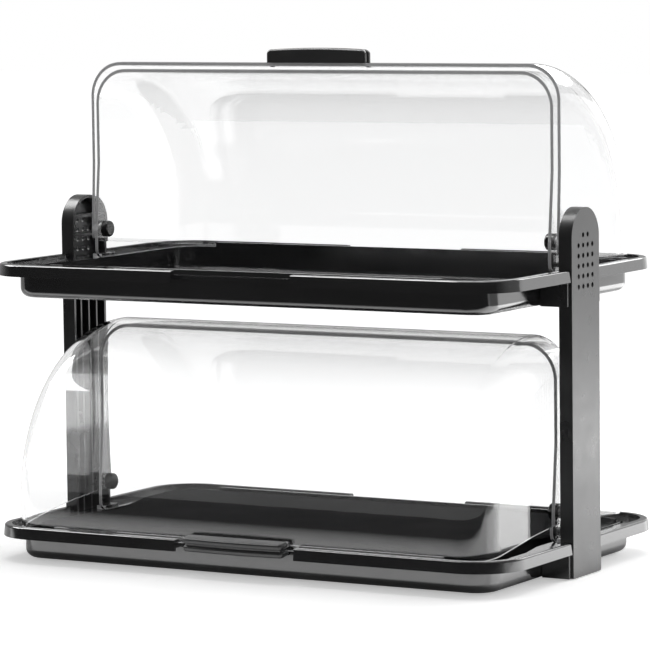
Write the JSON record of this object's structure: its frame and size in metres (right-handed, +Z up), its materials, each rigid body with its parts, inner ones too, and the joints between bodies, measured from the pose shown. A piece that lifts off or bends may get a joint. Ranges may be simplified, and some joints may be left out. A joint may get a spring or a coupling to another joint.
{
  "type": "countertop bread display bin",
  "caption": "Countertop display bin for bread: stacked black trays on side posts, under clear roll-top covers that swing back on pivots.",
  "frame": {"origin": "centre of the lower tray in plan, on the surface the bin stands on", "axes": "+X along the long side to the right seen from the front, +Y to the back, +Z up"},
  "size_m": [0.531, 0.3306, 0.4629],
  "materials": {
    "tray_plastic": "glossy moulded black",
    "insert_plastic": "fine matte texture, dark grey",
    "post_plastic": "satin moulded black",
    "bracket_plastic": "satin moulded black",
    "foot_rubber": "matte rubber",
    "clear_cover": "crystal clear, polished",
    "handle_plastic": "satin moulded black",
    "knob_plastic": "glossy moulded black",
    "spacer_plastic": "translucent natural",
    "screw_steel": "zinc-plated"
  },
  "bodies": {
    "root": {"foot_pads": "foot_rubber", "left_post": "post_plastic", "lower_bracket_screws": "screw_steel", "lower_left_bracket": "bracket_plastic", "lower_left_pivot_knob": "knob_plastic", "lower_left_pivot_nut": "knob_plastic", "lower_left_pivot_spacer": "spacer_plastic", "lower_rear_cover": "clear_cover", "lower_right_bracket": "bracket_plastic", "lower_right_pivot_knob": "knob_plastic", "lower_right_pivot_nut": "knob_plastic", "lower_right_pivot_spacer": "spacer_plastic", "lower_serving_insert": "insert_plastic", "lower_tray": "tray_plastic", "right_post": "post_plastic", "upper_bracket_screws": "screw_steel", "upper_left_bracket": "bracket_plastic", "upper_left_pivot_knob": "knob_plastic", "upper_left_pivot_nut": "knob_plastic", "upper_left_pivot_spacer": "spacer_plastic", "upper_rear_cover": "clear_cover", "upper_right_bracket": "bracket_plastic", "upper_right_pivot_knob": "knob_plastic", "upper_right_pivot_nut": "knob_plastic", "upper_right_pivot_spacer": "spacer_plastic", "upper_tray": "tray_plastic"},
    "lower_front_cover": {"lower_front_cover": "clear_cover", "lower_handle": "handle_plastic"},
    "upper_front_cover": {"upper_front_cover": "clear_cover", "upper_handle": "handle_plastic"}
  },
  "joints": [
    {"name": "lower_front_cover_hinge", "type": "hinge", "parent": "root", "child": "lower_front_cover", "pos_m": [0, 0, 0.055], "axis": [-1, 0, 0], "range_deg": [0, 97.8]},
    {"name": "upper_front_cover_hinge", "type": "hinge", "parent": "root", "child": "upper_front_cover", "pos_m": [0, 0, 0.2935], "axis": [1, 0, 0], "range_deg": [0, 97.8]}
  ]
}
